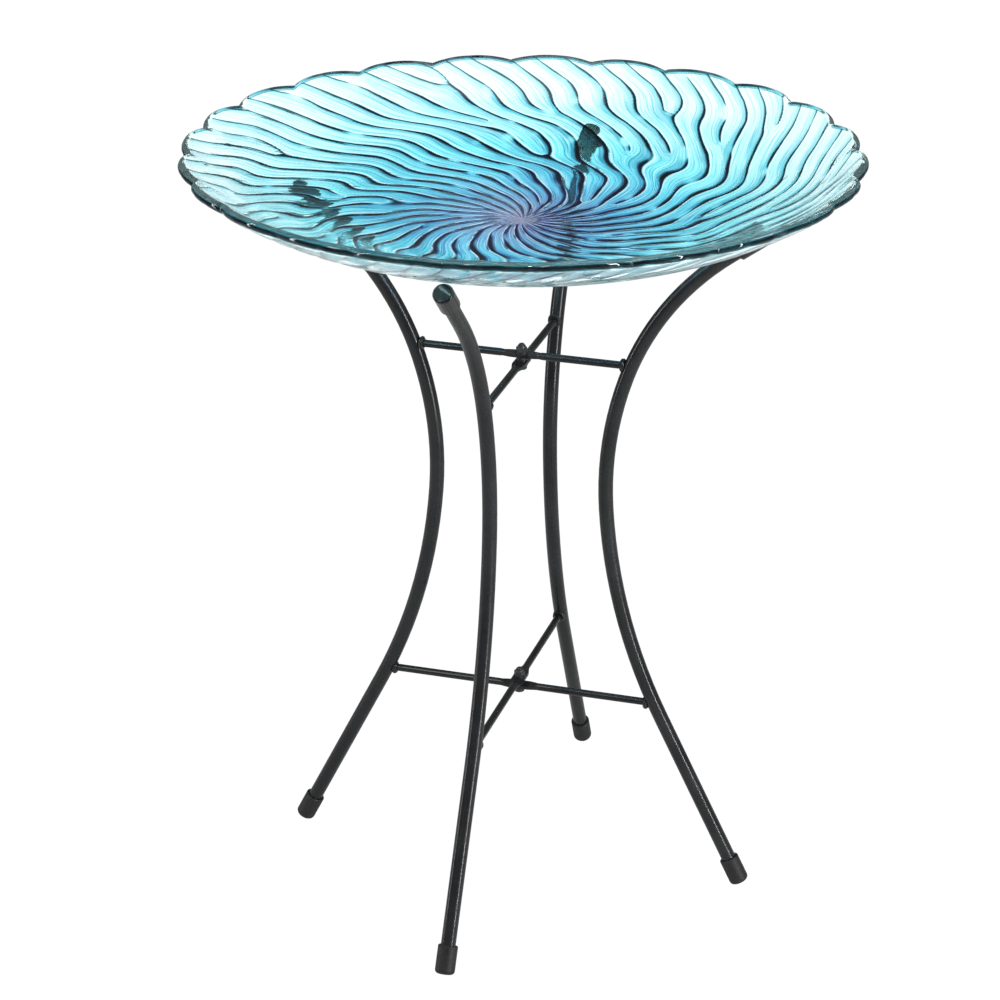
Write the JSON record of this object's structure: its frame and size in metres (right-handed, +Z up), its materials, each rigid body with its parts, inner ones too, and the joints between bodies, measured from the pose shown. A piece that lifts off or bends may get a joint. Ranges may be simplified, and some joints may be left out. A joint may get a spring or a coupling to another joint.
{
  "type": "bird bath",
  "caption": "Garden bird bath: a shallow pressed-glass dish with a scalloped edge and swirling ridges, resting on a folding stand of splayed bent tube legs with rod braces.",
  "frame": {"origin": "on the floor, on the stand's fold axis, which is also the bowl's axis", "axes": "+Z up; X along frame A, the narrower frame with the left and right legs; Y along frame B, front leg at -Y and back leg at +Y"},
  "size_m": [0.4572, 0.4572, 0.5349],
  "materials": {
    "black_paint": "satin black powder coat",
    "foot_rubber": "matte black rubber",
    "cap_plastic": "glossy black",
    "dark_steel": "blackened steel, worn on the edges",
    "tinted_glass": "pressed clear glass, blue-green tint fading to clear at the edge"
  },
  "bodies": {
    "frame_a": {"left_leg": "black_paint", "right_leg": "black_paint", "upper_crossbar_a": "black_paint", "lower_crossbar_a": "black_paint", "weld_beads_a": "black_paint", "left_foot_cap": "foot_rubber", "right_foot_cap": "foot_rubber", "left_top_cap": "cap_plastic", "right_top_cap": "cap_plastic", "upper_pivot_bolt": "dark_steel", "lower_pivot_bolt": "dark_steel", "upper_lock_nut": "dark_steel", "lower_lock_nut": "dark_steel", "upper_spacer": "dark_steel", "lower_spacer": "dark_steel", "pivot_washers": "dark_steel"},
    "frame_b": {"front_leg": "black_paint", "back_leg": "black_paint", "upper_crossbar_b": "black_paint", "lower_crossbar_b": "black_paint", "weld_beads_b": "black_paint", "front_foot_cap": "foot_rubber", "back_foot_cap": "foot_rubber", "front_top_cap": "cap_plastic", "back_top_cap": "cap_plastic"},
    "bowl": {"glass_bowl": "tinted_glass"}
  },
  "joints": [
    {"name": "stand_fold", "type": "hinge", "parent": "frame_a", "child": "frame_b", "pos_m": [0, 0, 0], "axis": [0, 0, 1], "range_deg": [-80, 80]},
    {"name": "bowl_lift", "type": "slide", "parent": "frame_a", "child": "bowl", "axis": [0, 0, 1], "range_m": [0, 0.15]}
  ]
}
